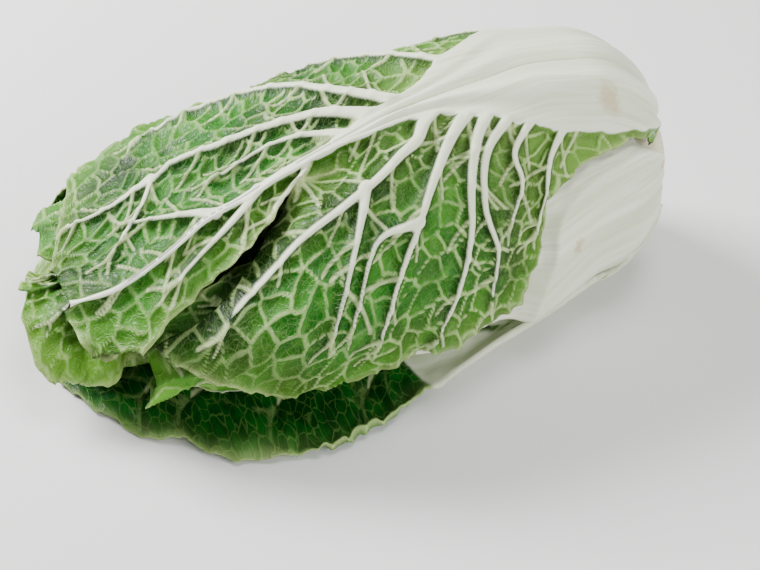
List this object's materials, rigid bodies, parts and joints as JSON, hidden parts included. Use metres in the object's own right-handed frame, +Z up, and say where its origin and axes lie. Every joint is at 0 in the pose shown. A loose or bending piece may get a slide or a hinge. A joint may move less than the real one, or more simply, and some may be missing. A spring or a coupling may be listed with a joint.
{
  "type": "napa cabbage",
  "caption": "Head of napa cabbage lying on its side: broad white stalks, puckered green wrapper leaves with raised ribs and wavy margins round a dense heart, cut at the butt.",
  "frame": {"origin": "centre of the bounding box, on the surface that the head lies on", "axes": "+X towards the cut butt, -X towards the leaf tips, +Z up, -Y towards the side with the hanging lobe"},
  "size_m": [0.364, 0.2324, 0.1425],
  "materials": {
    "bottom_leaf_green": "glossy waxy leaf, puckered",
    "back_low_leaf_green": "glossy waxy leaf, puckered",
    "top_leaf_green": "glossy waxy leaf, puckered",
    "back_leaf_green": "glossy waxy leaf, puckered",
    "side_leaf_green": "glossy waxy leaf, puckered",
    "inner_leaf_green": "glossy waxy leaf, puckered",
    "stalk_white": "smooth waxy stalk, near white",
    "heart_green": "soft satin leaf edges",
    "stem_cream": "dry matt cut face"
  },
  "bodies": {
    "root": {"bottom_leaf_blade": "bottom_leaf_green", "bottom_leaf_ribs": "stalk_white", "back_low_leaf_blade": "back_low_leaf_green", "back_low_leaf_ribs": "stalk_white", "top_leaf_blade": "top_leaf_green", "top_leaf_ribs": "stalk_white", "back_leaf_blade": "back_leaf_green", "back_leaf_ribs": "stalk_white", "side_leaf_blade": "side_leaf_green", "side_leaf_ribs": "stalk_white", "inner_leaf_blade": "inner_leaf_green", "inner_leaf_ribs": "stalk_white", "heart": "heart_green", "stem": "stem_cream"}
  },
  "joints": []
}
